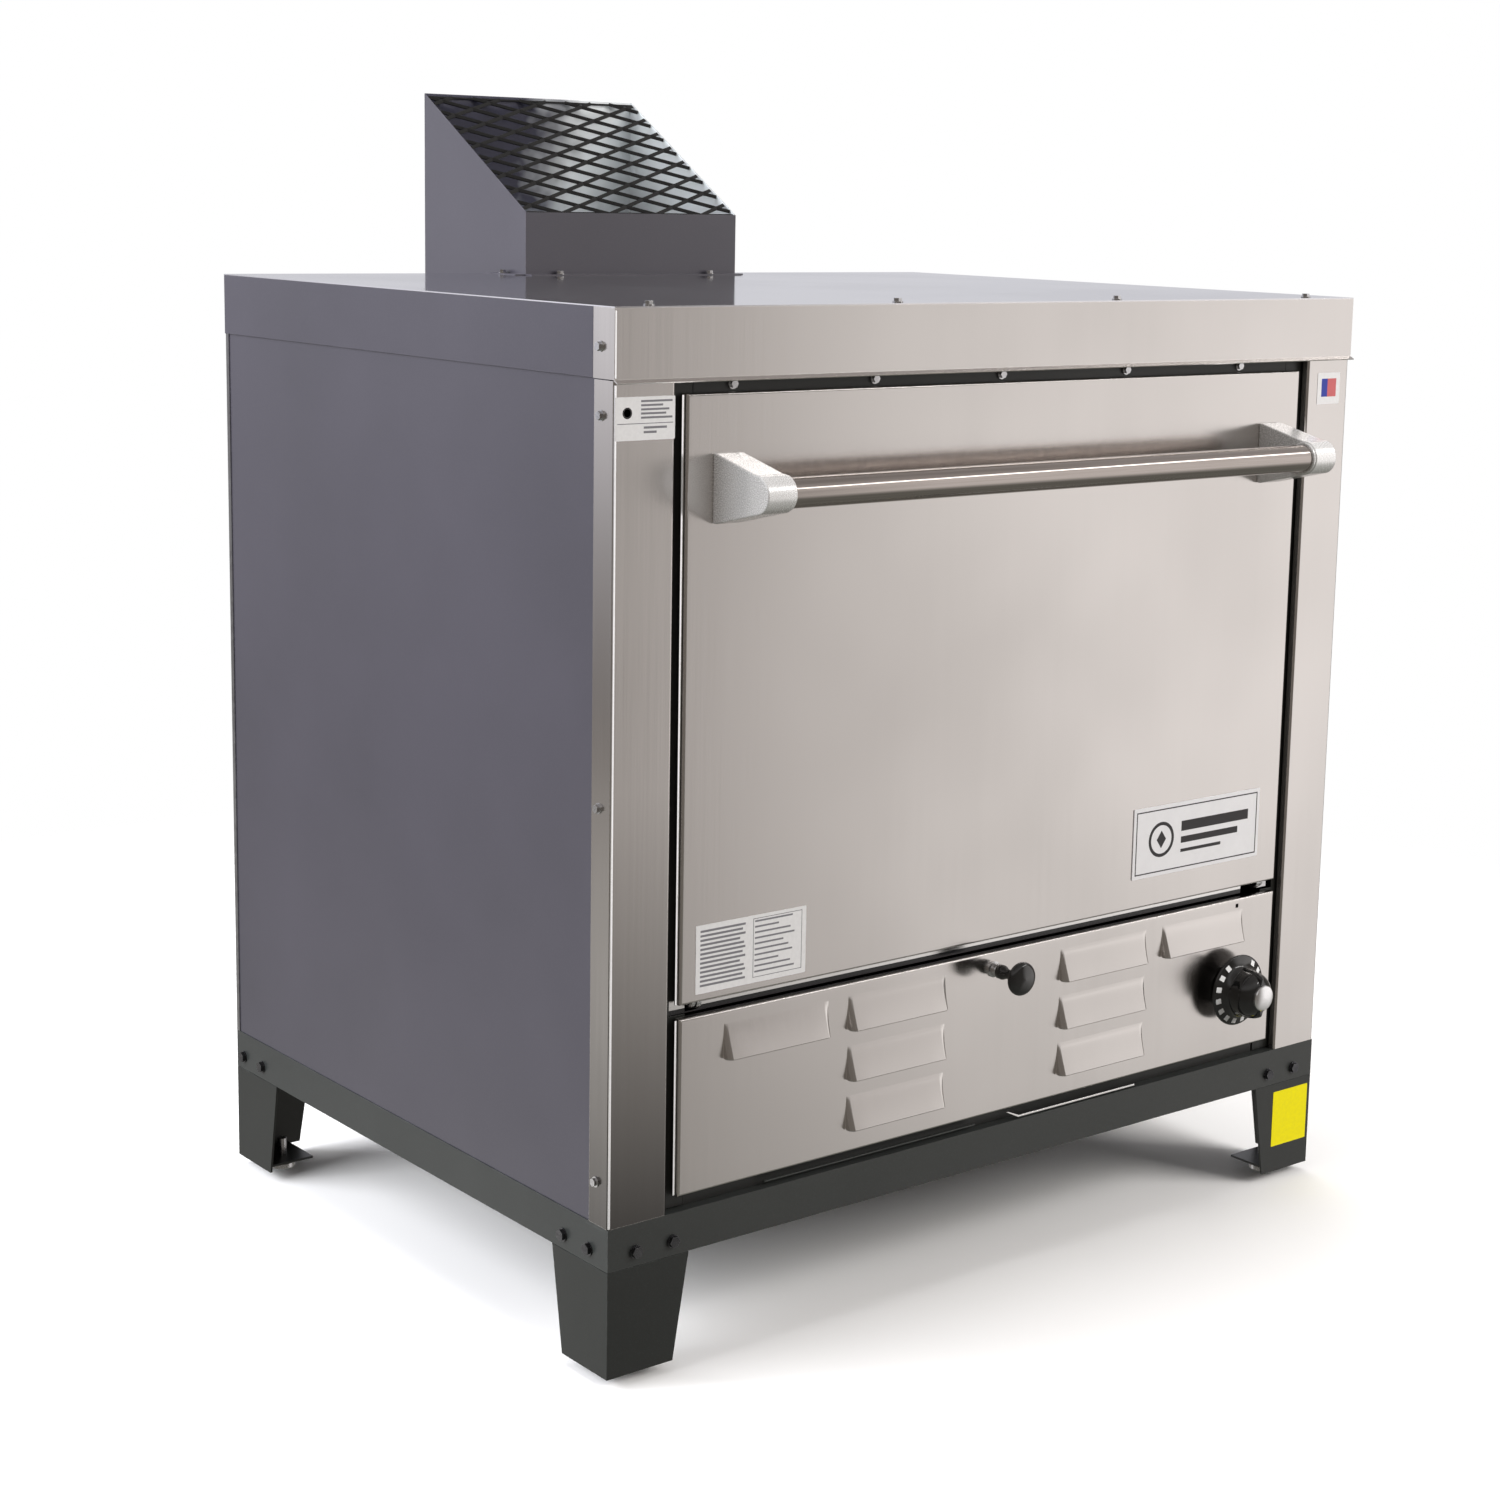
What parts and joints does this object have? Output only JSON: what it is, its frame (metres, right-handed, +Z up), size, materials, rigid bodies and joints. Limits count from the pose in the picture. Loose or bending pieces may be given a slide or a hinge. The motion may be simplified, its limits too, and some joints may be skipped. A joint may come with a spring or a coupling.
{
  "type": "deck oven",
  "caption": "Gas counter deck oven: drop-down door over hearth decks, louvred burner panel with thermostat knob, rear draught hood, short folded legs.",
  "frame": {"origin": "centre of the whole object's box in X and Y, on the floor under the levelling feet", "axes": "+Z up, +X to the oven's right seen from the front, +Y from the door to the back; the door faces -Y"},
  "size_m": [0.9754, 0.963, 1.193],
  "materials": {
    "stainless": "satin",
    "dark_paint": "satin",
    "base_black": "satin",
    "frame_black": "matte",
    "galvanised": "satin",
    "cast_aluminium": "satin",
    "fastener_steel": "polished",
    "black_knob": "gloss",
    "hearth_stone": "matte",
    "mineral_wool": "matte",
    "seal_rope": "matte",
    "burner_iron": "matte",
    "valve_brass": "satin",
    "black_pipe": "matte",
    "paper_label": "matte",
    "plate_aluminium": "satin"
  },
  "bodies": {
    "cabinet": {"base_rail_front": "base_black", "base_rail_rear": "base_black", "base_rail_left": "base_black", "base_rail_right": "base_black", "leg_front_left": "base_black", "leg_front_right": "base_black", "leg_rear_left": "base_black", "leg_rear_right": "base_black", "levelling_feet": "fastener_steel", "base_bolts": "fastener_steel", "bottom_pan": "frame_black", "side_panel_left": "dark_paint", "side_panel_right": "dark_paint", "back_panel": "galvanised", "top_panel": "stainless", "top_fascia": "stainless", "cap_skirt_left": "dark_paint", "cap_skirt_right": "dark_paint", "column_left": "stainless", "column_right": "stainless", "face_frame_top": "frame_black", "face_frame_stiles": "frame_black", "door_sill": "stainless", "door_seal": "seal_rope", "chamber_walls": "galvanised", "chamber_floor": "galvanised", "chamber_roof": "galvanised", "chamber_back": "galvanised", "deck_supports": "galvanised", "hearth_decks": "hearth_stone", "cabinet_insulation": "mineral_wool", "flue_collar": "galvanised", "heat_baffle": "galvanised", "burner_tubes": "burner_iron", "gas_valve": "valve_brass", "gas_pipes": "black_pipe", "thermostat_bulb": "valve_brass", "control_panel": "stainless", "hinge_brackets": "fastener_steel", "door_springs": "fastener_steel", "hood_front": "dark_paint", "hood_side_left": "dark_paint", "hood_side_right": "dark_paint", "hood_back": "dark_paint", "flue_mesh": "frame_black", "sheet_screws": "fastener_steel", "paper_tags": "paper_label"},
    "door": {"door_skin": "stainless", "door_liner": "galvanised", "door_insulation": "mineral_wool", "handle_bracket_left": "cast_aluminium", "handle_bracket_right": "cast_aluminium", "handle_tube": "stainless", "hinge_arms": "fastener_steel", "nameplate": "plate_aluminium", "door_label": "paper_label"},
    "thermostat": {"thermostat_knob": "black_knob", "thermostat_shaft": "fastener_steel"},
    "damper": {"damper_ball": "black_knob", "damper_rod": "fastener_steel"}
  },
  "joints": [
    {"name": "door_hinge", "type": "hinge", "parent": "cabinet", "child": "door", "pos_m": [0, -0.3905, 0.353], "axis": [1, 0, 0], "range_deg": [0, 90], "stiffness_Nm_per_rad": 20, "springref_deg": -5.73},
    {"name": "thermostat_turn", "type": "hinge", "parent": "cabinet", "child": "thermostat", "pos_m": [0.3345, -0.4005, 0.243], "axis": [0, 1, 0], "range_deg": [0, 270]},
    {"name": "damper_pull", "type": "slide", "parent": "cabinet", "child": "damper", "axis": [0, -1, 0], "range_m": [0, 0.06]}
  ]
}
